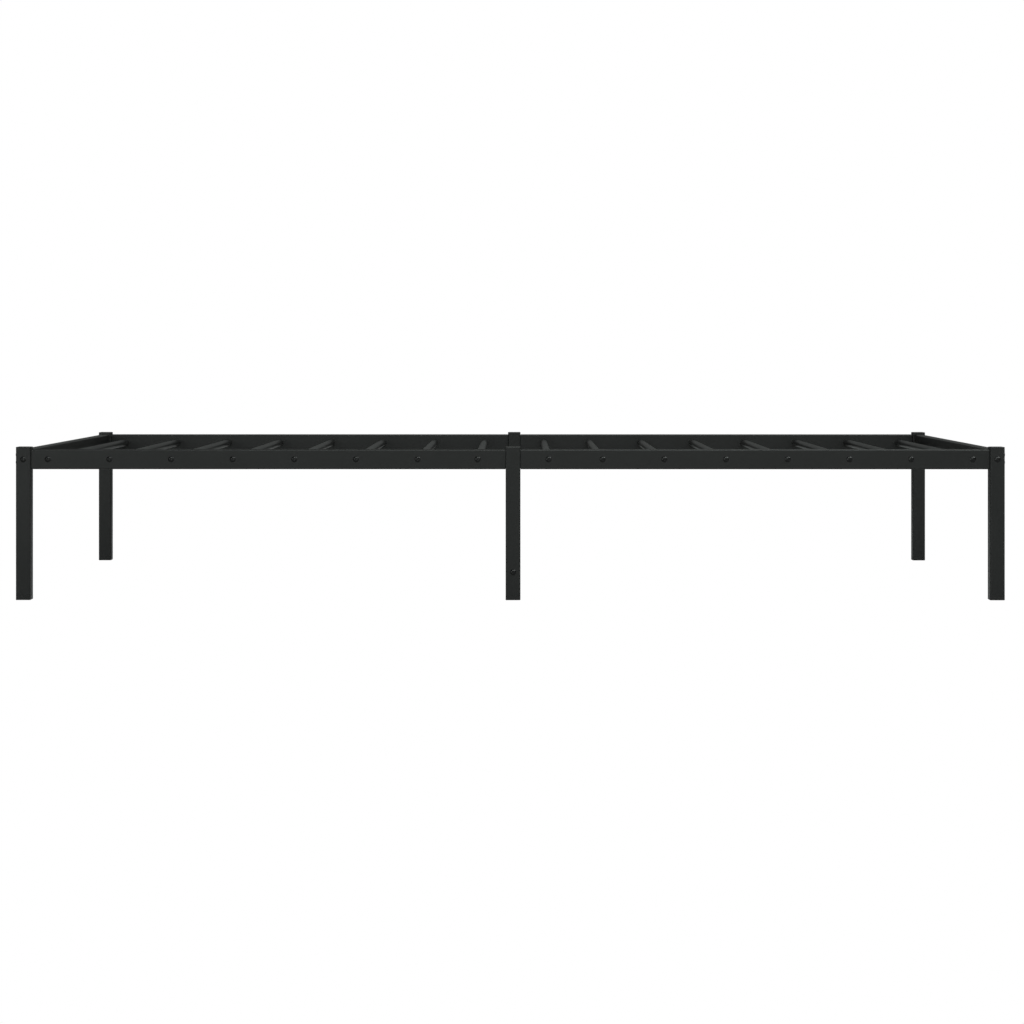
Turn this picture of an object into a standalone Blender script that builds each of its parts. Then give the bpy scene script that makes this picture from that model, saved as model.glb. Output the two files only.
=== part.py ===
# Metal platform bed frame: square-tube legs, rectangular-tube rails in halves, round-tube slats.
# Metres, +Z up. The origin is on the floor under the middle of the frame; +X runs along the
# length, -Y is the front long side.

import math

import bmesh
import bpy

# Driving dimensions
FRAME_LENGTH = 2.000
FRAME_WIDTH = 1.100
FRAME_HEIGHT = 0.310

LEG_SIDE = 0.030
LEG_WALL = 0.0015
RAIL_HEIGHT = 0.040
RAIL_THICKNESS = 0.020
RAIL_WALL = 0.0015
RAIL_DROP = 0.0055  # leg top down to rail top
TUBE_CORNER = 0.0025
TUBE_INNER_CORNER = 0.0010
CORNER_STEPS = 3

SLAT_DIAMETER = 0.016
SLAT_WALL = 0.0012
SLAT_PITCH = 0.1248
SLATS_PER_QUARTER = 7  # evenly spaced slats on each side of the middle
INNER_SLAT_OFFSET = 0.0718  # from the middle leg's centre to the slat beside it
SLAT_INSERT_DEPTH = 0.015
SLAT_SIDES = 16

MID_LEG_SHIFT = 0.006  # the middle legs stand a little to +X of the centre
STUB_LENGTH = 0.075
STUB_WALL = 0.0015
STUB_WELD = 0.0010  # how far a stub is sunk into the leg's wall

TIE_SIDE = 0.020
TIE_HEIGHT = 0.0565

END_PLATE = 0.004
CAP_LIP = 0.0025
CAP_DEPTH = 0.009
FOOT_LIP = 0.008
FOOT_DEPTH = 0.015
PLUG_WALL = 0.002
PLUG_EDGE = 0.0010

BOLT_SHANK = 0.00285
BOLT_HOLE = 0.00315
BOLT_LENGTH = 0.038
BOLT_TIP = 0.0005  # bevel at the shank's end
BOLT_HEAD = 0.006  # radius
BOLT_HEAD_HEIGHT = 0.0020
BOLT_RIM = 0.00035
BOLT_SHOULDER = 0.0045
BOLT_SHOULDER_HEIGHT = 0.0013
BOLT_FLAT = 0.0026  # radius of the flat round the socket
BOLT_SOCKET = 0.004  # across the flats
BOLT_SOCKET_DEPTH = 0.0014
BOLT_SIDES = 12
HOLE_SIDES = 8
END_BOLT_SPACING = 0.0152
END_BOLT_LIFT = 0.0016  # the pair's middle above the rail's centre line

GAP = 0.0003  # between pieces that touch
FIT = 0.0003  # round a piece that slides into another
SHARP_ANGLE = 35  # degrees, where smooth shading breaks

# Worked out from the driving dimensions
HALF_LENGTH = FRAME_LENGTH / 2
HALF_WIDTH = FRAME_WIDTH / 2
LEG_HALF = LEG_SIDE / 2
LEG_X = HALF_LENGTH - LEG_HALF
LEG_Y = HALF_WIDTH - LEG_HALF
RAIL_Z = FRAME_HEIGHT - RAIL_DROP - RAIL_HEIGHT / 2
SIDES = {"left": -1, "right": 1}
ENDS = {"front": -1, "rear": 1}

COAT = {"Base Color": (0.0080, 0.0085, 0.0083, 1.0), "Roughness": 0.27, "Metallic": 0.0}
PLASTIC = {"Base Color": (0.0065, 0.0065, 0.0067, 1.0), "Roughness": 0.40, "Metallic": 0.0}
BLACK_BOLT = {"Base Color": (0.0090, 0.0090, 0.0093, 1.0), "Roughness": 0.30, "Metallic": 0.35}


def clear_scene():
    for old in list(bpy.data.objects):
        bpy.data.objects.remove(old)


def finish(obj, look):
    material = bpy.data.materials.new(obj.name + "_finish")
    material.use_nodes = True
    shader = material.node_tree.nodes["Principled BSDF"]
    for socket, value in look.items():
        shader.inputs[socket].default_value = value
    obj.data.materials.append(material)


def add_object(name, mesh, location=(0, 0, 0), rotation=(0, 0, 0)):
    obj = bpy.data.objects.new(name, mesh)
    obj.location = location
    obj.rotation_euler = rotation
    bpy.context.scene.collection.objects.link(obj)
    return obj


def rounded_outline(size_x, size_y, corner, z):
    # One loop round a rounded rectangle at height z, anticlockwise seen from above.
    points = []
    for quarter in range(4):
        middle = math.radians(45 + 90 * quarter)
        centre_x = math.copysign(size_x / 2 - corner, math.cos(middle))
        centre_y = math.copysign(size_y / 2 - corner, math.sin(middle))
        for step in range(CORNER_STEPS + 1):
            angle = math.radians(90 * quarter + 90 * step / CORNER_STEPS)
            x = centre_x + corner * math.cos(angle)
            y = centre_y + corner * math.sin(angle)
            points.append((x, y, z))
    return points


def circle_outline(radius, z, sides):
    turn = math.tau / sides
    return [(radius * math.cos(i * turn), radius * math.sin(i * turn), z) for i in range(sides)]


def hexagon_outline(across_flats, z, sides):
    # A hexagon drawn with as many points as the circle round it.
    points = []
    for i in range(sides):
        angle = math.tau * i / sides
        from_flat = (angle + math.pi / 6) % (math.pi / 3) - math.pi / 6
        radius = across_flats / 2 / math.cos(from_flat)
        points.append((radius * math.cos(angle), radius * math.sin(angle), z))
    return points


def add_shell(shape, loops, ring=False):
    # Joins each loop to the next; the two ends are filled, or joined to each other in a ring.
    rows = [[shape.verts.new(point) for point in loop] for loop in loops]
    pairs = list(zip(rows, rows[1:]))
    if ring:
        pairs.append((rows[-1], rows[0]))
    else:
        shape.faces.new(list(reversed(rows[0])))
        shape.faces.new(rows[-1])
    for low, high in pairs:
        count = len(low)
        for i in range(count):
            j = (i + 1) % count
            shape.faces.new((low[i], low[j], high[j], high[i]))


def mesh_of(name, shells, ring=False):
    shape = bmesh.new()
    for loops in shells:
        add_shell(shape, loops, ring)
    mesh = bpy.data.meshes.new(name)
    shape.to_mesh(mesh)
    shape.free()
    mesh.shade_smooth()
    mesh.set_sharp_from_angle(angle=math.radians(SHARP_ANGLE))
    return mesh


def tube_loops(size_x, size_y, wall, low, high, low_plate=0.0):
    # Outside going up, then inside coming down to the plate that closes the low end.
    inner_x = size_x - 2 * wall
    inner_y = size_y - 2 * wall
    return [
        rounded_outline(size_x, size_y, TUBE_CORNER, low),
        rounded_outline(size_x, size_y, TUBE_CORNER, high),
        rounded_outline(inner_x, inner_y, TUBE_INNER_CORNER, high),
        rounded_outline(inner_x, inner_y, TUBE_INNER_CORNER, low + low_plate),
    ]


def closed_tube_shells(size_x, size_y, wall, length, plate):
    # A tube closed by a plate at both ends: an outer skin and the hollow inside it.
    inner_x = size_x - 2 * wall
    inner_y = size_y - 2 * wall
    outside = [rounded_outline(size_x, size_y, TUBE_CORNER, z) for z in (0, length)]
    heights = (length - plate, plate)
    inside = [rounded_outline(inner_x, inner_y, TUBE_INNER_CORNER, z) for z in heights]
    return [outside, inside]


def hide(operand):
    operand.hide_render = True
    operand.display_type = "WIRE"


def use_boolean(target, operand, operation):
    operand.parent = target
    hide(operand)
    modifier = target.modifiers.new(operation.lower(), "BOOLEAN")
    modifier.operation = operation
    modifier.solver = "EXACT"
    modifier.object = operand


def along_axis(point, axis):
    x, y, z = point
    return {"X": (z, x, y), "Y": (y, z, x), "Z": (x, y, z)}[axis]


def drill(target, holes):
    # Each hole is (centre, axis, length) in the target's own frame.
    shape = bmesh.new()
    for centre, axis, length in holes:
        loops = []
        for z in (-length / 2, length / 2):
            circle = [along_axis(p, axis) for p in circle_outline(BOLT_HOLE, z, HOLE_SIDES)]
            loops.append([[c + p for c, p in zip(centre, point)] for point in circle])
        add_shell(shape, loops)
    name = target.name + "_drill"
    mesh = bpy.data.meshes.new(name)
    shape.to_mesh(mesh)
    shape.free()
    use_boolean(target, add_object(name, mesh), "DIFFERENCE")


def end_bolt_heights():
    middle = RAIL_Z + END_BOLT_LIFT
    return {"upper": middle + END_BOLT_SPACING / 2, "lower": middle - END_BOLT_SPACING / 2}


def slat_positions():
    middle = MID_LEG_SHIFT
    places = [middle - INNER_SLAT_OFFSET, middle + INNER_SLAT_OFFSET]
    for step in range(SLATS_PER_QUARTER):
        distance = (step + 1.5) * SLAT_PITCH
        places += [-distance, distance]
    return sorted(places)


def leg_tube(name, x, y):
    bottom = FOOT_LIP + GAP
    length = FRAME_HEIGHT - CAP_LIP - GAP - bottom
    mesh = mesh_of(name, [tube_loops(LEG_SIDE, LEG_SIDE, LEG_WALL, 0, length)], ring=True)
    leg = add_object(name, mesh, (x, y, bottom))
    finish(leg, COAT)
    return leg


def make_corner_leg(side_name, end_name):
    side = SIDES[side_name]
    end = ENDS[end_name]
    leg = leg_tube(f"leg_{end_name}_{side_name}", side * LEG_X, end * LEG_Y)
    bottom = FOOT_LIP + GAP
    through = 2 * LEG_SIDE
    holes = [((0, 0, z - bottom), "X", through) for z in end_bolt_heights().values()]
    holes.append(((0, 0, RAIL_Z - bottom), "Y", through))
    drill(leg, holes)


def stub_mesh(name):
    # A short tube that slides into a rail's open end.
    slack = 2 * (RAIL_WALL + FIT)
    height = RAIL_HEIGHT - slack
    thickness = RAIL_THICKNESS - slack
    return mesh_of(name, [tube_loops(height, thickness, STUB_WALL, 0, STUB_LENGTH)], ring=True)


def make_mid_leg(end_name):
    leg = leg_tube(f"mid_leg_{end_name}", MID_LEG_SHIFT, ENDS[end_name] * LEG_Y)
    bottom = FOOT_LIP + GAP
    rail_level = RAIL_Z - bottom
    for side_name, side in SIDES.items():
        name = f"{leg.name}_stub_{side_name}"
        start = (side * (LEG_HALF - STUB_WELD), 0, rail_level)
        stub = add_object(name, stub_mesh(name), start, (0, side * math.pi / 2, 0))
        use_boolean(leg, stub, "UNION")
    through = 2 * LEG_SIDE
    holes = [((side * INNER_SLAT_OFFSET, 0, rail_level), "Y", through) for side in (-1, 1)]
    holes.append(((0, 0, TIE_HEIGHT - bottom), "Y", through))
    drill(leg, holes)


def make_side_rail(side_name, end_name):
    # Closed by a threaded plate at the corner leg, open where it takes the middle leg's stub.
    side = SIDES[side_name]
    name = f"side_rail_{end_name}_{side_name}"
    outer_x = side * (HALF_LENGTH - LEG_SIDE - GAP)
    inner_x = MID_LEG_SHIFT + side * (LEG_HALF + GAP)
    length = abs(outer_x - inner_x)
    loops = tube_loops(RAIL_HEIGHT, RAIL_THICKNESS, RAIL_WALL, 0, length, END_PLATE)
    place = (outer_x, ENDS[end_name] * LEG_Y, RAIL_Z)
    rail = add_object(name, mesh_of(name, [loops]), place, (0, -side * math.pi / 2, 0))
    finish(rail, COAT)
    plate_depth = 4 * END_PLATE
    holes = [((side * (z - RAIL_Z), 0, 0), "Z", plate_depth) for z in end_bolt_heights().values()]
    for x in slat_positions():
        along = side * (outer_x - x)
        if 0 < along < length:
            holes.append(((0, 0, along), "Y", 2 * RAIL_THICKNESS))
    drill(rail, holes)


def bar_between_legs(name, x, z, height, thickness, wall):
    # A tube across the frame, closed by a threaded plate at each end.
    length = 2 * (HALF_WIDTH - LEG_SIDE - GAP)
    shells = closed_tube_shells(thickness, height, wall, length, END_PLATE)
    place = (x, length / 2, z)
    bar = add_object(name, mesh_of(name, shells), place, (math.pi / 2, 0, 0))
    finish(bar, COAT)
    plate_depth = 4 * END_PLATE
    drill(bar, [((0, 0, end), "Z", plate_depth) for end in (0, length)])


def make_end_rail(side_name):
    x = SIDES[side_name] * LEG_X
    bar_between_legs(f"end_rail_{side_name}", x, RAIL_Z, RAIL_HEIGHT, RAIL_THICKNESS, RAIL_WALL)


def make_slats():
    # A round tube with a threaded insert welded into each end.
    length = 2 * (LEG_Y - RAIL_THICKNESS / 2 - GAP)
    radius = SLAT_DIAMETER / 2
    hollow = radius - SLAT_WALL
    section = (
        (BOLT_HOLE, 0),
        (radius, 0),
        (radius, length),
        (BOLT_HOLE, length),
        (BOLT_HOLE, length - SLAT_INSERT_DEPTH),
        (hollow, length - SLAT_INSERT_DEPTH),
        (hollow, SLAT_INSERT_DEPTH),
        (BOLT_HOLE, SLAT_INSERT_DEPTH),
    )
    loops = [circle_outline(r, z, SLAT_SIDES) for r, z in section]
    for number, x in enumerate(slat_positions(), start=1):
        name = f"slat_{number:02d}"
        mesh = mesh_of(name, [loops], ring=True)
        slat = add_object(name, mesh, (x, length / 2, RAIL_Z), (math.pi / 2, 0, 0))
        finish(slat, COAT)


def plug_loops(lip, depth):
    # Built up from the outer face of the lip, with the hollow insert above it.
    insert = LEG_SIDE - 2 * (LEG_WALL + FIT)
    hollow = insert - 2 * PLUG_WALL
    flat = LEG_SIDE - 2 * PLUG_EDGE
    inner = TUBE_INNER_CORNER
    return [
        rounded_outline(flat, flat, TUBE_CORNER, 0),
        rounded_outline(LEG_SIDE, LEG_SIDE, TUBE_CORNER, PLUG_EDGE),
        rounded_outline(LEG_SIDE, LEG_SIDE, TUBE_CORNER, lip),
        rounded_outline(insert, insert, inner, lip),
        rounded_outline(insert, insert, inner, lip + depth),
        rounded_outline(hollow, hollow, inner, lip + depth),
        rounded_outline(hollow, hollow, inner, lip),
    ]


def make_plugs(place_name, x, y):
    foot_name = f"foot_{place_name}"
    foot = add_object(foot_name, mesh_of(foot_name, [plug_loops(FOOT_LIP, FOOT_DEPTH)]), (x, y, 0))
    finish(foot, PLASTIC)
    cap_name = f"top_cap_{place_name}"
    cap_mesh = mesh_of(cap_name, [plug_loops(CAP_LIP, CAP_DEPTH)])
    cap = add_object(cap_name, cap_mesh, (x, y, FRAME_HEIGHT), (math.pi, 0, 0))
    finish(cap, PLASTIC)


def bolt_mesh(name):
    # A button-head bolt along Z: the shank below the origin, the head with its socket above.
    round_section = (
        (BOLT_SHANK - BOLT_TIP, -BOLT_LENGTH),
        (BOLT_SHANK, -BOLT_LENGTH + BOLT_TIP),
        (BOLT_SHANK, 0),
        (BOLT_HEAD, 0),
        (BOLT_HEAD, BOLT_RIM),
        (BOLT_SHOULDER, BOLT_SHOULDER_HEIGHT),
        (BOLT_FLAT, BOLT_HEAD_HEIGHT),
    )
    loops = [circle_outline(r, z, BOLT_SIDES) for r, z in round_section]
    socket_bottom = BOLT_HEAD_HEIGHT - BOLT_SOCKET_DEPTH
    loops += [hexagon_outline(BOLT_SOCKET, z, BOLT_SIDES) for z in (BOLT_HEAD_HEIGHT, socket_bottom)]
    return mesh_of(name, [loops])


def make_bolt(name, place, rotation):
    bolt = add_object(name, bolt_mesh(name), place, rotation)
    finish(bolt, BLACK_BOLT)


def make_bolts():
    for end_name, end in ENDS.items():
        facing = (-end * math.pi / 2, 0, 0)
        face_y = end * (HALF_WIDTH + GAP)
        make_bolt(f"tie_bolt_{end_name}", (MID_LEG_SHIFT, face_y, TIE_HEIGHT), facing)
        for side_name, side in SIDES.items():
            corner = f"{end_name}_{side_name}"
            make_bolt(f"end_rail_bolt_{corner}", (side * LEG_X, face_y, RAIL_Z), facing)
            for level, z in end_bolt_heights().items():
                place = (side * (HALF_LENGTH + GAP), end * LEG_Y, z)
                name = f"side_rail_bolt_{corner}_{level}"
                make_bolt(name, place, (0, side * math.pi / 2, 0))


def build():
    clear_scene()
    for end_name, end in ENDS.items():
        make_mid_leg(end_name)
        make_plugs(f"mid_{end_name}", MID_LEG_SHIFT, end * LEG_Y)
        for side_name, side in SIDES.items():
            make_corner_leg(side_name, end_name)
            make_side_rail(side_name, end_name)
            make_plugs(f"{end_name}_{side_name}", side * LEG_X, end * LEG_Y)
    for side_name in SIDES:
        make_end_rail(side_name)
    bar_between_legs("tie_bar", MID_LEG_SHIFT, TIE_HEIGHT, TIE_SIDE, TIE_SIDE, RAIL_WALL)
    make_slats()
    make_bolts()


build()
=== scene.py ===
import math

import bmesh
import bpy
from mathutils import Matrix, Vector


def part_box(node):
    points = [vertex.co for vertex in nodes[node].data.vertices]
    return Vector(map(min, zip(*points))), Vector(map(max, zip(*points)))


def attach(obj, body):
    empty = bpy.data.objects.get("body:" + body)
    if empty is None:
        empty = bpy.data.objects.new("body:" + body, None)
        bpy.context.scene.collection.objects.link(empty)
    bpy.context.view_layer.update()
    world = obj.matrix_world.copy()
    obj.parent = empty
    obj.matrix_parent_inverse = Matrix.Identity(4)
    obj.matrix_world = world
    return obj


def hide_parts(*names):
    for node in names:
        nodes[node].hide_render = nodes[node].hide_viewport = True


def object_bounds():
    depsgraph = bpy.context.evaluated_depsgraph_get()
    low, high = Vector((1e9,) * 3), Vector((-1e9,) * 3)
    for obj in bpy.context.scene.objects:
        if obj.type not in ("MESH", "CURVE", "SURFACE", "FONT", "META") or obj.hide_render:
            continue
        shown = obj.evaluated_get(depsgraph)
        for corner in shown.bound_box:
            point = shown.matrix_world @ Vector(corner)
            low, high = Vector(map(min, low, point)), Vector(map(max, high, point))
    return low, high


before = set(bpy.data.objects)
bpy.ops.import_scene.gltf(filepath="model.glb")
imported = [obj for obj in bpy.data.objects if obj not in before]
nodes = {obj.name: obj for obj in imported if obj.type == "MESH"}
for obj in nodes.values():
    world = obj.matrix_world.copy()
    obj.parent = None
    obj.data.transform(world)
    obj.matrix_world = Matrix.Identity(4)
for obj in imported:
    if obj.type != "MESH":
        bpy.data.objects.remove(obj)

cadLow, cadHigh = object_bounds()
scene = bpy.context.scene
ends = ("front", "rear")
corners = [f"{end}_{side}" for end in ends for side in ("left", "right")]
legPlaces = corners + [f"mid_{end}" for end in ends]
slatNames = sorted(name for name in nodes if name.startswith("slat_"))


def middleOf(name):
    low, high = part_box(name)
    return (Vector(low) + Vector(high)) / 2


print("frame loaded:", len(nodes), "nodes")

# camera: held level, a little right of the frame's middle
camera = {
    "standOff": 5.43,        # from the front legs' faces
    "toTheRight": 0.0207,
    "height": 0.4896,
    "lens": 94.43,
    "turn": 0.177,           # degrees to the left
    "shiftDown": 0.15035,
    "sensor": 36,
    "nearest": 0.05,
    "farthest": 100,
}


def makeCamera(settings):
    data = bpy.data.cameras.new("camera")
    data.lens = settings["lens"]
    data.sensor_width = settings["sensor"]
    data.shift_y = -settings["shiftDown"]
    data.clip_start = settings["nearest"]
    data.clip_end = settings["farthest"]
    holder = bpy.data.objects.new("camera", data)
    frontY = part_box("leg_front_left")[0][1]
    holder.location = (settings["toTheRight"], frontY - settings["standOff"], settings["height"])
    holder.rotation_euler = (math.radians(90), 0, math.radians(settings["turn"]))
    scene.collection.objects.link(holder)
    scene.camera = holder


makeCamera(camera)
print("camera placed")


# nodes for materials: each call adds one node and joins its inputs
def addNode(tree, kind, inputs=None, **values):
    node = tree.nodes.new(kind)
    for key, value in values.items():
        setattr(node, key, value)
    for key, value in (inputs or {}).items():
        socket = node.inputs[key]
        if isinstance(value, bpy.types.NodeSocket):
            tree.links.new(value, socket)
        else:
            socket.default_value = value
    return node


def startMaterial(name):
    material = bpy.data.materials.new(name)
    material.use_nodes = True
    tree = material.node_tree
    return material, tree, tree.nodes["Principled BSDF"]


def mathNode(tree, operation, first, second=0.0):
    return addNode(tree, "ShaderNodeMath", {0: first, 1: second}, operation=operation).outputs[0]


def rangeNode(tree, value, fromLow, fromHigh, toLow, toHigh):
    inputs = {0: value, 1: fromLow, 2: fromHigh, 3: toLow, 4: toHigh}
    return addNode(tree, "ShaderNodeMapRange", inputs).outputs[0]


def noiseNode(tree, place, noise):
    inputs = {"Vector": place, "Scale": noise["perMetre"], "Detail": noise["detail"]}
    inputs["Roughness"] = noise.get("roughness", 0.5)
    return addNode(tree, "ShaderNodeTexNoise", inputs).outputs[0]


def mixColours(tree, share, first, second):
    return addNode(tree, "ShaderNodeMix", {0: share, 6: first, 7: second}, data_type="RGBA").outputs[2]


# powder coat on steel: fine grain over a slow orange peel, worn a touch smoother on the corners
powderCoat = {
    "dark": (0.0054, 0.0057, 0.0056, 1),
    "light": (0.0074, 0.0077, 0.0076, 1),
    "corner": (0.0120, 0.0124, 0.0124, 1),
    "smooth": 0.28,
    "rough": 0.36,
    "cornerSmooth": 0.24,
    "sheen": 0.5,            # specular level
    "grain": {"perMetre": 1900, "detail": 1.0},
    "peel": {"perMetre": 260, "detail": 2.0},
    "cloud": {"perMetre": 7, "detail": 4.0, "roughness": 0.6},
    "speck": {"perMetre": 780, "detail": 1.0},
    "shadeSpan": (0.35, 0.65),    # of the clouds, from the dark colour to the light one
    "glossSpan": (0.3, 0.7),      # of clouds and specks together, from smooth to rough
    "wearSpan": (0.35, 0.6),      # of the specks, from the least worn corner to the most
    "leastWorn": 0.3,
    "grainShare": 0.45,      # of the bump, beside the peel
    "flatSide": 0.98,        # how square to an axis a face is, from flat side to round corner
    "roundSide": 0.75,
    "bumpHeight": 0.00005,
    "bumpStrength": 0.30,
}


def cornerMask(tree, settings):
    # how far a face turns away from the three axes: nothing on a flat side, one on a round corner
    normal = addNode(tree, "ShaderNodeNewGeometry").outputs["Normal"]
    parts = addNode(tree, "ShaderNodeSeparateXYZ", {0: normal}).outputs
    sizes = [mathNode(tree, "ABSOLUTE", part) for part in parts]
    largest = mathNode(tree, "MAXIMUM", mathNode(tree, "MAXIMUM", sizes[0], sizes[1]), sizes[2])
    return rangeNode(tree, largest, settings["flatSide"], settings["roundSide"], 0.0, 1.0)


def addBump(tree, shader, height, settings):
    inputs = {"Height": height, "Strength": settings["bumpStrength"], "Distance": settings["bumpHeight"]}
    bump = addNode(tree, "ShaderNodeBump", inputs)
    tree.links.new(bump.outputs[0], shader.inputs["Normal"])


def makePowderCoat(name, settings, withCorners):
    material, tree, shader = startMaterial(name)
    place = addNode(tree, "ShaderNodeTexCoord").outputs["Object"]
    grain = noiseNode(tree, place, settings["grain"])
    peel = noiseNode(tree, place, settings["peel"])
    cloud = noiseNode(tree, place, settings["cloud"])
    speck = noiseNode(tree, place, settings["speck"])
    shade = rangeNode(tree, cloud, *settings["shadeSpan"], 0.0, 1.0)
    colour = mixColours(tree, shade, settings["dark"], settings["light"])
    mixed = mathNode(tree, "MULTIPLY", mathNode(tree, "ADD", cloud, speck), 0.5)
    roughness = rangeNode(tree, mixed, *settings["glossSpan"], settings["smooth"], settings["rough"])
    if withCorners:
        patches = rangeNode(tree, speck, *settings["wearSpan"], settings["leastWorn"], 1.0)
        worn = mathNode(tree, "MULTIPLY", cornerMask(tree, settings), patches)
        colour = mixColours(tree, worn, colour, settings["corner"])
        drop = mathNode(tree, "MULTIPLY", worn, settings["smooth"] - settings["cornerSmooth"])
        roughness = mathNode(tree, "SUBTRACT", roughness, drop)
    fineGrain = mathNode(tree, "MULTIPLY", grain, settings["grainShare"])
    addBump(tree, shader, mathNode(tree, "ADD", fineGrain, peel), settings)
    tree.links.new(colour, shader.inputs["Base Color"])
    tree.links.new(roughness, shader.inputs["Roughness"])
    shader.inputs["Specular IOR Level"].default_value = settings["sheen"]
    return material


# moulded plastic of the feet and caps
plastic = {
    "dark": (0.0065, 0.0065, 0.0066, 1),
    "light": (0.0090, 0.0090, 0.0091, 1),
    "smooth": 0.24,
    "rough": 0.34,
    "sheen": 0.6,
    "grain": {"perMetre": 3200, "detail": 1.0},
    "flow": {"perMetre": 90, "detail": 3.0},
    "shadeSpan": (0.3, 0.7),      # of the flow marks, from dark and rough to light and smooth
    "bumpHeight": 0.00004,
    "bumpStrength": 0.35,
}


def makePlastic(name, settings):
    material, tree, shader = startMaterial(name)
    place = addNode(tree, "ShaderNodeTexCoord").outputs["Object"]
    grain = noiseNode(tree, place, settings["grain"])
    flow = noiseNode(tree, place, settings["flow"])
    shade = rangeNode(tree, flow, *settings["shadeSpan"], 0.0, 1.0)
    colour = mixColours(tree, shade, settings["dark"], settings["light"])
    roughness = rangeNode(tree, flow, *settings["shadeSpan"], settings["rough"], settings["smooth"])
    addBump(tree, shader, grain, settings)
    tree.links.new(colour, shader.inputs["Base Color"])
    tree.links.new(roughness, shader.inputs["Roughness"])
    shader.inputs["Specular IOR Level"].default_value = settings["sheen"]
    return material


# black finish of the bolts: its lighter patches are also its smoother ones
boltFinish = {
    "dark": (0.0048, 0.0048, 0.0050, 1),
    "light": (0.0096, 0.0096, 0.0100, 1),
    "smooth": 0.13,
    "rough": 0.22,
    "metallic": 0.35,
    "grain": {"perMetre": 2600, "detail": 2.0},
    "patch": {"perMetre": 420, "detail": 3.0, "roughness": 0.6},
    "shadeSpan": (0.35, 0.7),     # of the patches, from the dark colour to the light one
    "glossSpan": (0.3, 0.7),      # of the patches, from rough to smooth
    "bumpHeight": 0.00003,
    "bumpStrength": 0.3,
}


def makeBoltFinish(name, settings):
    material, tree, shader = startMaterial(name)
    place = addNode(tree, "ShaderNodeTexCoord").outputs["Object"]
    grain = noiseNode(tree, place, settings["grain"])
    patch = noiseNode(tree, place, settings["patch"])
    shade = rangeNode(tree, patch, *settings["shadeSpan"], 0.0, 1.0)
    colour = mixColours(tree, shade, settings["dark"], settings["light"])
    roughness = rangeNode(tree, patch, *settings["glossSpan"], settings["rough"], settings["smooth"])
    addBump(tree, shader, grain, settings)
    tree.links.new(colour, shader.inputs["Base Color"])
    tree.links.new(roughness, shader.inputs["Roughness"])
    shader.inputs["Metallic"].default_value = settings["metallic"]
    return material


tubeCoat = makePowderCoat("black_powder_coat", powderCoat, True)
slatCoat = makePowderCoat("black_powder_coat_round", powderCoat, False)
capPlastic = makePlastic("black_plastic", plastic)
boltBlack = makeBoltFinish("black_bolt", boltFinish)
print("materials made")


# steel tubes keep their first shape: smooth over their round corners, flat on their sides
tube = {
    "weld": 0.00001,
    "sameArea": 0.00002,     # square metres
}


def finishTube(name, settings):
    piece = nodes[name]
    piece.data.materials.clear()
    piece.data.materials.append(tubeCoat)
    piece.data.polygons.foreach_set("use_smooth", [True] * len(piece.data.polygons))
    weld = piece.modifiers.new("weld", "WELD")
    weld.merge_threshold = settings["weld"]
    normals = piece.modifiers.new("normals", "WEIGHTED_NORMAL")
    normals.weight = 100     # the widest side alone sets the shading
    normals.thresh = settings["sameArea"]


tubeWords = ("leg", "rail_", "tie_bar")
tubeNames = [name for name in nodes if any(word in name for word in tubeWords) and "bolt" not in name]
for name in tubeNames:
    finishTube(name, tube)
print("tubes finished:", len(tubeNames))


# meshes made of loops of points, each joined to the next
def meshFromLoops(name, loops, sharpAngle, ring=False):
    shape = bmesh.new()
    rows = [[shape.verts.new(point) for point in loop] for loop in loops]
    pairs = list(zip(rows, rows[1:]))
    if ring:
        pairs.append((rows[-1], rows[0]))
    else:
        shape.faces.new(list(reversed(rows[0])))
        shape.faces.new(rows[-1])
    for low, high in pairs:
        for i in range(len(low)):
            j = (i + 1) % len(low)
            shape.faces.new((low[i], low[j], high[j], high[i]))
    mesh = bpy.data.meshes.new(name)
    shape.to_mesh(mesh)
    shape.free()
    mesh.shade_smooth()
    mesh.set_sharp_from_angle(angle=math.radians(sharpAngle))
    return mesh


def addPiece(name, mesh, material, place, turn=None):
    piece = bpy.data.objects.new(name, mesh)
    if not mesh.materials:
        mesh.materials.append(material)
    piece.matrix_world = Matrix.Translation(place) @ (turn or Matrix())
    scene.collection.objects.link(piece)
    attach(piece, "root")
    return piece


def circle(radius, z, count):
    return [(radius * math.cos(math.tau * i / count), radius * math.sin(math.tau * i / count), z)
            for i in range(count)]


# bolts: button heads with a hexagon socket, in a long size for the frame and a short one for slats
bolt = {
    "frameLength": 0.038,    # under the head
    "slatLength": 0.032,
    "headRadius": 0.006,
    "headHeight": 0.0020,
    "rimHeight": 0.00035,
    "edge": 0.00015,
    "flatRadius": 0.0026,    # of the flat round the socket
    "socket": 0.004,         # across the flats
    "socketDepth": 0.0014,
    "socketFlare": 0.0003,   # wider at its mouth
    "flareDepth": 0.0002,
    "drillPoint": 0.0004,    # radius and depth of the point at the bottom
    "shankRadius": 0.00285,
    "tipWidth": 0.0005,
    "tipHeight": 0.0008,
    "slatGap": 0.0001,       # between a slat bolt's head and its rail
    "sides": 48,
    "domeSteps": 7,
    "sharpAngle": 32,
    "turnStep": 37,          # degrees from one frame bolt to the next
    "slatTurnStep": 5,
    "slatTurn": {"front": 5, "rear": 28},
}


def hexagon(acrossFlats, z, count):
    points = []
    for i in range(count):
        angle = math.tau * i / count
        fromFlat = (angle + math.pi / 6) % (math.pi / 3) - math.pi / 6
        radius = acrossFlats / 2 / math.cos(fromFlat)
        points.append((radius * math.cos(angle), radius * math.sin(angle), z))
    return points


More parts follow.
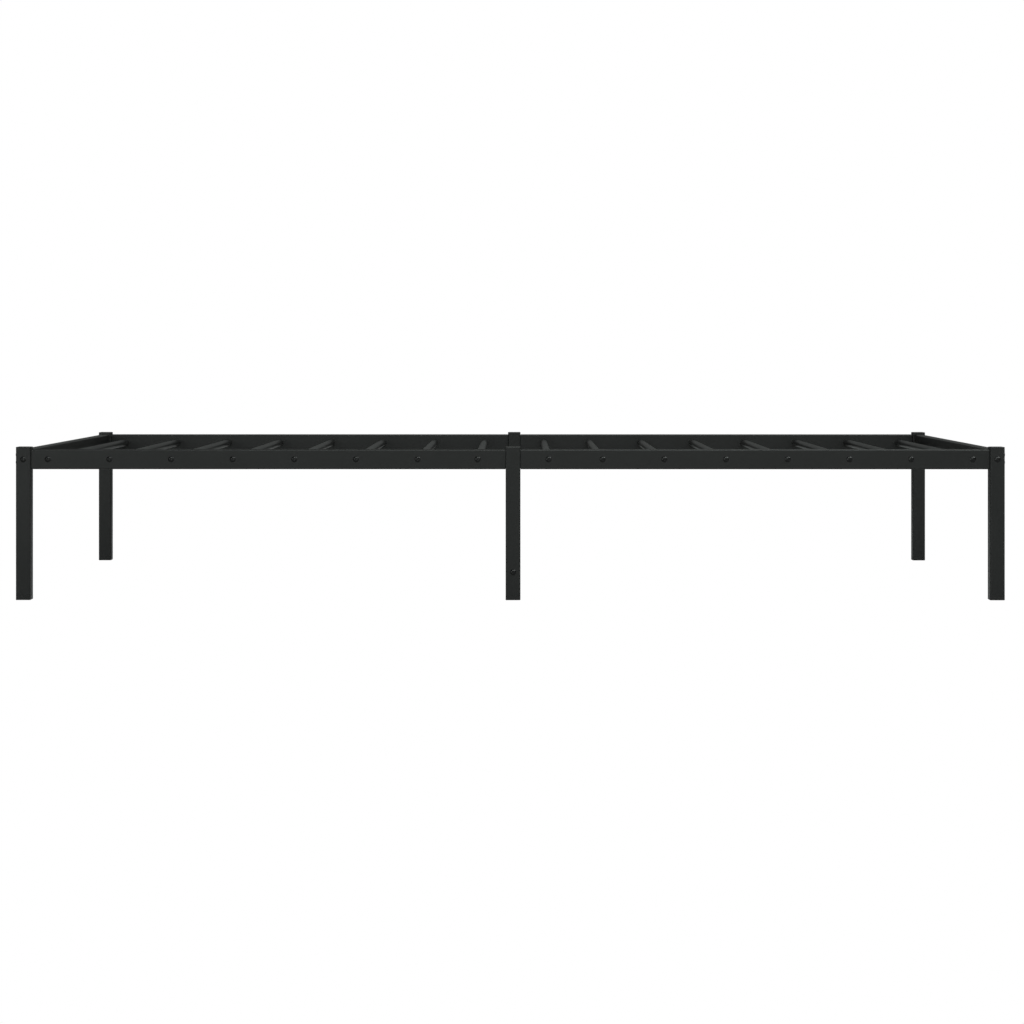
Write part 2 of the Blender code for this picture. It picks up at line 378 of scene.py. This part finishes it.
def boltMesh(name, settings, length):
    sides = settings["sides"]
    head = settings["headRadius"]
    rim = settings["rimHeight"]
    top = settings["headHeight"]
    edge = settings["edge"]
    shank = settings["shankRadius"]
    section = [(shank - settings["tipWidth"], -length), (shank, settings["tipHeight"] - length)]
    section += [(shank, 0), (head - edge, 0), (head, edge), (head, rim)]
    # the dome is part of a ball between the rim and the flat
    steps = settings["domeSteps"]
    flat = settings["flatRadius"]
    rise = top - rim
    across = (head ** 2 - flat ** 2 - rise ** 2) / (2 * rise)
    ball = math.hypot(head, across)
    for step in range(1, steps + 1):
        radius = head + (flat - head) * step / steps
        section.append((radius, rim + math.sqrt(ball ** 2 - radius ** 2) - across))
    loops = [circle(radius, z, sides) for radius, z in section]
    socket = settings["socket"]
    bottom = top - settings["socketDepth"]
    point = settings["drillPoint"]
    loops.append(hexagon(socket + settings["socketFlare"], top, sides))
    loops.append(hexagon(socket, top - settings["flareDepth"], sides))
    loops.append(hexagon(socket, bottom, sides))
    loops.append(circle(point, bottom - point, sides))
    return meshFromLoops(name, loops, settings["sharpAngle"])


facingTurns = {
    "front": Matrix.Rotation(math.radians(90), 4, "X"),
    "rear": Matrix.Rotation(math.radians(-90), 4, "X"),
    "left": Matrix.Rotation(math.radians(-90), 4, "Y"),
    "right": Matrix.Rotation(math.radians(90), 4, "Y"),
}


# neighbouring bolts are turned differently, as tightened bolts end up; a hexagon repeats at 60
def turned(facing, degrees):
    return facingTurns[facing] @ Matrix.Rotation(math.radians(degrees % 60), 4, "Z")


def replaceBolts(settings):
    mesh = boltMesh("frame_bolt", settings, settings["frameLength"])
    head = settings["headHeight"]
    names = sorted(name for name in nodes if "bolt" in name)
    for number, name in enumerate(names):
        low, high = (Vector(corner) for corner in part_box(name))
        end = "front" if "front" in name else "rear"
        side = "left" if "left" in name else "right"
        facing = side if name.startswith("side_rail") else end
        axis = 0 if facing == side else 1
        underHead = (low + high) / 2
        outermost = low if facing in ("left", "front") else high
        inwards = head if outermost is low else -head
        underHead[axis] = outermost[axis] + inwards
        turn = turned(facing, number * settings["turnStep"])
        piece = addPiece(f"{name}_head", mesh, boltBlack, underHead, turn)
        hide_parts(name)


def addSlatBolts(settings):
    mesh = boltMesh("slat_bolt", settings, settings["slatLength"])
    gap = settings["slatGap"]
    middleX = middleOf("mid_leg_front").x
    for number, slatName in enumerate(slatNames, start=1):
        x, y, z = middleOf(slatName)
        side = "left" if x < middleX else "right"
        for end in ends:
            low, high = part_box(f"side_rail_{end}_{side}")
            faceY = low[1] - gap if end == "front" else high[1] + gap
            turn = turned(end, number * settings["slatTurnStep"] + settings["slatTurn"][end])
            name = slatName.replace("slat", f"slat_bolt_{end}")
            addPiece(name, mesh, boltBlack, (x, faceY, z), turn)


replaceBolts(bolt)
addSlatBolts(bolt)
print("bolts made")


# slats: round tube with an insert in each end
slat = {
    "sides": 48,
    "insertRadius": 0.0032,
    "insertDepth": 0.015,
    "wall": 0.0012,
    "edge": 0.0004,
    "sharpAngle": 40,
}


def replaceSlats(settings):
    low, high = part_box(slatNames[0])
    radius = (high[0] - low[0]) / 2
    half = (high[1] - low[1]) / 2
    hollow = radius - settings["wall"]
    hole = settings["insertRadius"]
    deep = half - settings["insertDepth"]
    edge = settings["edge"]
    outside = [(hole, -half), (radius - edge, -half), (radius, edge - half), (radius, half - edge)]
    outside += [(radius - edge, half), (hole, half)]
    inside = [(hole, deep), (hollow, deep), (hollow, -deep), (hole, -deep)]
    loops = [circle(r, z, settings["sides"]) for r, z in outside + inside]
    mesh = meshFromLoops("slat_tube", loops, settings["sharpAngle"], ring=True)
    alongWidth = facingTurns["front"]
    for name in slatNames:
        place = middleOf(name)
        piece = addPiece(f"{name}_tube", mesh, slatCoat, place, alongWidth)
        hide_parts(name)


replaceSlats(slat)
print("slats made")


# feet and top caps: a lip with rounded edges over a hollow insert with a tapered tip
plug = {
    "cornerRadius": 0.0025,
    "cornerSteps": 8,
    "edge": 0.0011,
    "edgeSteps": 4,
    "footCrown": 0.0,        # how far the middle stands proud of the rounded edge
    "capCrown": 0.0003,
    "crownInset": 0.0033,    # from the side to the raised middle
    "crownCorner": 0.6,      # of the corner radius
    "edgeCorner": 0.5,       # of the edge's inset
    "tubeWall": 0.0018,      # with the play round the insert
    "tubeGap": 0.0003,
    "insertWall": 0.002,
    "insertCorner": 0.001,
    "straight": 0.85,        # share of the insert before its tapered tip
    "taper": 0.0005,
    "sharpAngle": 50,
}


def roundedSquare(half, corner, z, steps):
    points = []
    for quarter in range(4):
        middle = math.radians(45 + 90 * quarter)
        centre = half - corner
        for step in range(steps + 1):
            angle = math.radians(90 * quarter + 90 * step / steps)
            x = math.copysign(centre, math.cos(middle)) + corner * math.cos(angle)
            y = math.copysign(centre, math.sin(middle)) + corner * math.sin(angle)
            points.append((x, y, z))
    return points


def plugMesh(name, settings, half, insertHalf, lip, depth, crown):
    steps = settings["cornerSteps"]
    corner = settings["cornerRadius"]
    edge = settings["edge"]
    crownHalf = half - settings["crownInset"]
    loops = [roundedSquare(crownHalf, corner * settings["crownCorner"], 0, steps)]
    for step in range(settings["edgeSteps"] + 1):
        angle = math.pi / 2 * step / settings["edgeSteps"]
        inset = edge * (1 - math.sin(angle))
        z = crown + (edge - crown) * (1 - math.cos(angle))
        loops.append(roundedSquare(half - inset, corner - inset * settings["edgeCorner"], z, steps))
    insertCorner = settings["insertCorner"]
    innerHalf = insertHalf - settings["insertWall"]
    taperStart = lip + depth * settings["straight"]
    loops.append(roundedSquare(half, corner, lip, steps))
    loops.append(roundedSquare(insertHalf, insertCorner, lip, steps))
    loops.append(roundedSquare(insertHalf, insertCorner, taperStart, steps))
    loops.append(roundedSquare(insertHalf - settings["taper"], insertCorner, lip + depth, steps))
    loops.append(roundedSquare(innerHalf, insertCorner, lip + depth, steps))
    loops.append(roundedSquare(innerHalf, insertCorner, lip, steps))
    return meshFromLoops(name, loops, settings["sharpAngle"])


def replacePlugs(settings):
    legLow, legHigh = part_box("leg_front_left")
    half = (legHigh[0] - legLow[0]) / 2
    insertHalf = half - settings["tubeWall"]
    gap = settings["tubeGap"]
    for kind, crown in (("foot", settings["footCrown"]), ("top_cap", settings["capCrown"])):
        isFoot = kind == "foot"
        low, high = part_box(f"{kind}_front_left")
        lip = legLow[2] - gap - low[2] if isFoot else high[2] - legHigh[2] - gap
        depth = high[2] - low[2] - lip
        mesh = plugMesh(f"{kind}_plug", settings, half, insertHalf, lip, depth, crown)
        turn = Matrix() if isFoot else Matrix.Rotation(math.pi, 4, "X")
        for place in legPlaces:
            name = f"{kind}_{place}"
            low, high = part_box(name)
            spot = middleOf(name)
            spot.z = low[2] if isFoot else high[2]
            piece = addPiece(f"{name}_plug", mesh, capPlastic, spot, turn)
            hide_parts(name)


replacePlugs(plug)
print("feet and caps made")


# floor: seen as plain white, and darker to reflected light, so that the black paint stays black
floor = {
    "size": 60,
    "below": 0.0002,         # under the feet
    "seen": 1.0,
    "bounced": (0.45, 0.45, 0.45, 1),
}


def makeFloor(settings):
    half = settings["size"] / 2
    z = -settings["below"]
    mesh = bpy.data.meshes.new("floor")
    points = [(-half, -half, z), (half, -half, z), (half, half, z), (-half, half, z)]
    mesh.from_pydata(points, [], [(0, 1, 2, 3)])
    stage = bpy.data.objects.new("floor", mesh)
    scene.collection.objects.link(stage)
    material, tree, shader = startMaterial("floor")
    tree.nodes.remove(shader)
    straight = addNode(tree, "ShaderNodeLightPath").outputs["Is Camera Ray"]
    seen = addNode(tree, "ShaderNodeEmission", {"Strength": settings["seen"]}).outputs[0]
    bounced = addNode(tree, "ShaderNodeBsdfDiffuse", {"Color": settings["bounced"]}).outputs[0]
    mixed = addNode(tree, "ShaderNodeMixShader", {0: straight, 1: bounced, 2: seen})
    tree.links.new(mixed.outputs[0], tree.nodes["Material Output"].inputs["Surface"])
    mesh.materials.append(material)


# soft light: a faint glow from behind the frame and round soft boxes, each at a turn round the
# frame (0 in front, 90 to the right) and a rise above it in degrees
dome = {
    "glow": 0.164,           # behind the frame
    "falloff": 3.0,          # how quickly the glow drops to the sides
    "backdrop": 1.0,         # as seen past the frame
    "tint": (0.945, 1.0, 0.97),
    "aimHeight": 0.9,        # of the frame's height, where the soft boxes point
}

softBoxes = {
    "frontLow": {"turn": 0, "rise": 8, "away": 7, "across": 4.5, "watts": 33},
    "leftLow": {"turn": 325, "rise": 8, "away": 7, "across": 3.5, "watts": 66},
    "rightLow": {"turn": 35, "rise": 8, "away": 7, "across": 3.5, "watts": 23},
    "frontHigh": {"turn": 0, "rise": 38, "away": 7, "across": 4, "watts": 116},
    "rightHigh": {"turn": 55, "rise": 42, "away": 7, "across": 4, "watts": 200},
    "topRight": {"turn": 90, "rise": 70, "away": 5, "across": 3, "watts": 65},
}


def makeDome(settings):
    world = bpy.data.worlds.new("studio")
    scene.world = world
    world.use_nodes = True
    tree = world.node_tree
    direction = addNode(tree, "ShaderNodeTexCoord").outputs["Generated"]
    backwards = addNode(tree, "ShaderNodeSeparateXYZ", {0: direction}).outputs["Y"]
    behind = mathNode(tree, "POWER", mathNode(tree, "MAXIMUM", backwards, 0.0), settings["falloff"])
    glow = mathNode(tree, "MULTIPLY", behind, settings["glow"])
    straight = addNode(tree, "ShaderNodeLightPath").outputs["Is Camera Ray"]
    strength = addNode(tree, "ShaderNodeMix", {0: straight, 2: glow, 3: settings["backdrop"]})
    colour = mixColours(tree, straight, (*settings["tint"], 1), (1, 1, 1, 1))
    background = tree.nodes["Background"]
    tree.links.new(colour, background.inputs["Color"])
    tree.links.new(strength.outputs[0], background.inputs["Strength"])


def makeSoftBoxes(boxes, tint, aimHeight):
    centre = Vector((0, 0, cadHigh[2] * aimHeight))
    for name, box in boxes.items():
        turn = math.radians(box["turn"])
        rise = math.radians(box["rise"])
        flat = math.cos(rise)
        out = Vector((math.sin(turn) * flat, -math.cos(turn) * flat, math.sin(rise)))
        data = bpy.data.lights.new(name, "AREA")
        data.shape = "DISK"
        data.size = box["across"]
        data.energy = box["watts"]
        data.color = tint
        lamp = bpy.data.objects.new(name, data)
        lamp.location = centre + out * box["away"]
        lamp.rotation_euler = out.to_track_quat("Z", "Y").to_euler()
        lamp.visible_camera = False
        scene.collection.objects.link(lamp)


makeFloor(floor)
makeDome(dome)
makeSoftBoxes(softBoxes, dome["tint"], dome["aimHeight"])
scene.view_settings.view_transform = "Standard"
print("floor and light made")

bpy.context.view_layer.update()
